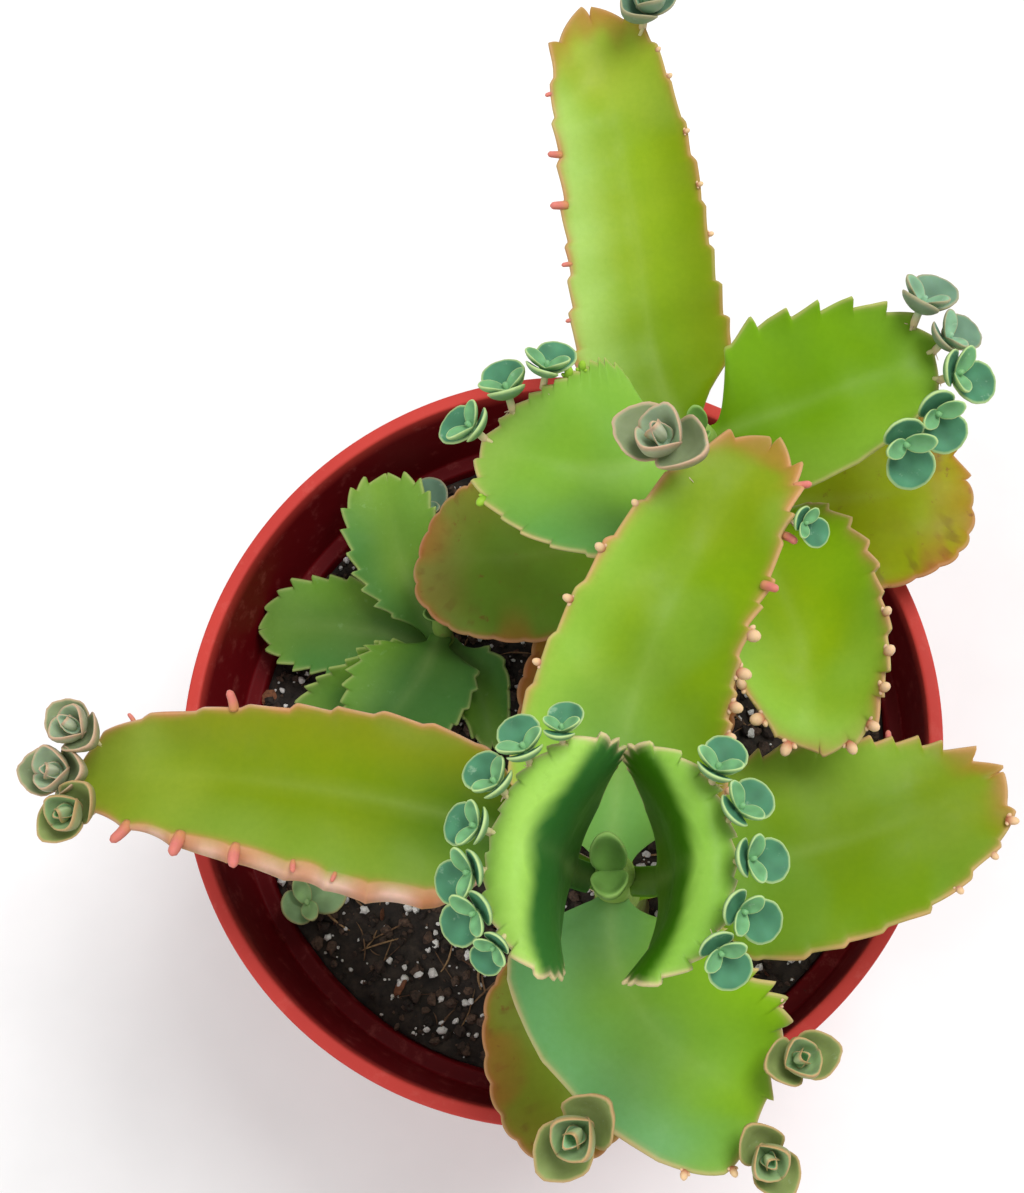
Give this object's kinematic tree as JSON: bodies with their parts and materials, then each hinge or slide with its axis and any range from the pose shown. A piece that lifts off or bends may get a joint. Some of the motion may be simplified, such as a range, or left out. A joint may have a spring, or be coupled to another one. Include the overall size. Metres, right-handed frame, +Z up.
{
  "type": "potted mother of thousands plant",
  "caption": "Mother of thousands succulent with thick toothed leaves and tiny plantlets along their margins, growing in a terracotta-red plastic nursery pot filled with dark potting mix.",
  "frame": {"origin": "centre of the underside of the pot's base, where it rests", "axes": "+Z up out of the pot; +X and +Y level, with +Y to the side that the longest leaf of the taller back shoot points to"},
  "size_m": [0.1743, 0.2268, 0.2068],
  "materials": {
    "pot_plastic": "satin",
    "soil": "matte",
    "stem": "satin",
    "leaf": "satin",
    "leaf_young": "satin",
    "leaf_old": "satin",
    "plantlet": "satin"
  },
  "bodies": {
    "root": {"pot": "pot_plastic", "soil": "soil", "centre_stem": "stem", "back_stem": "stem", "small_stem": "stem", "back_leaf_far": "leaf", "back_leaf_low_left": "leaf_old", "back_leaf_low_right": "leaf_old", "back_leaf_near": "leaf", "back_leaf_top_left": "leaf", "back_leaf_top_right": "leaf", "centre_leaf_back": "leaf", "centre_leaf_front": "leaf", "centre_leaf_left": "leaf", "centre_leaf_low_back": "leaf_old", "centre_leaf_low_front": "leaf_old", "centre_leaf_right": "leaf", "centre_leaf_top_left": "leaf", "centre_leaf_top_right": "leaf", "small_leaf_back": "leaf_young", "small_leaf_inner_front": "leaf_young", "small_leaf_inner_left": "leaf_young", "small_leaf_left": "leaf_young", "small_leaf_right": "leaf_young", "plantlet_back_1": "plantlet", "plantlet_back_2": "plantlet", "plantlet_back_left_1": "plantlet", "plantlet_back_left_2": "plantlet", "plantlet_back_left_3": "plantlet", "plantlet_back_right_1": "plantlet", "plantlet_back_right_2": "plantlet", "plantlet_back_right_3": "plantlet", "plantlet_back_right_4": "plantlet", "plantlet_back_right_5": "plantlet", "plantlet_far_1": "plantlet", "plantlet_front_1": "plantlet", "plantlet_front_2": "plantlet", "plantlet_front_3": "plantlet", "plantlet_left_1": "plantlet", "plantlet_left_2": "plantlet", "plantlet_left_3": "plantlet", "plantlet_top_left_1": "plantlet", "plantlet_top_left_2": "plantlet", "plantlet_top_left_3": "plantlet", "plantlet_top_left_4": "plantlet", "plantlet_top_left_5": "plantlet", "plantlet_top_left_6": "plantlet", "plantlet_top_left_7": "plantlet", "plantlet_top_right_1": "plantlet", "plantlet_top_right_2": "plantlet", "plantlet_top_right_3": "plantlet", "plantlet_top_right_4": "plantlet", "plantlet_top_right_5": "plantlet", "seedling_back": "plantlet", "seedling_centre": "plantlet", "seedling_left": "plantlet", "seedling_middle": "plantlet"}
  },
  "joints": []
}
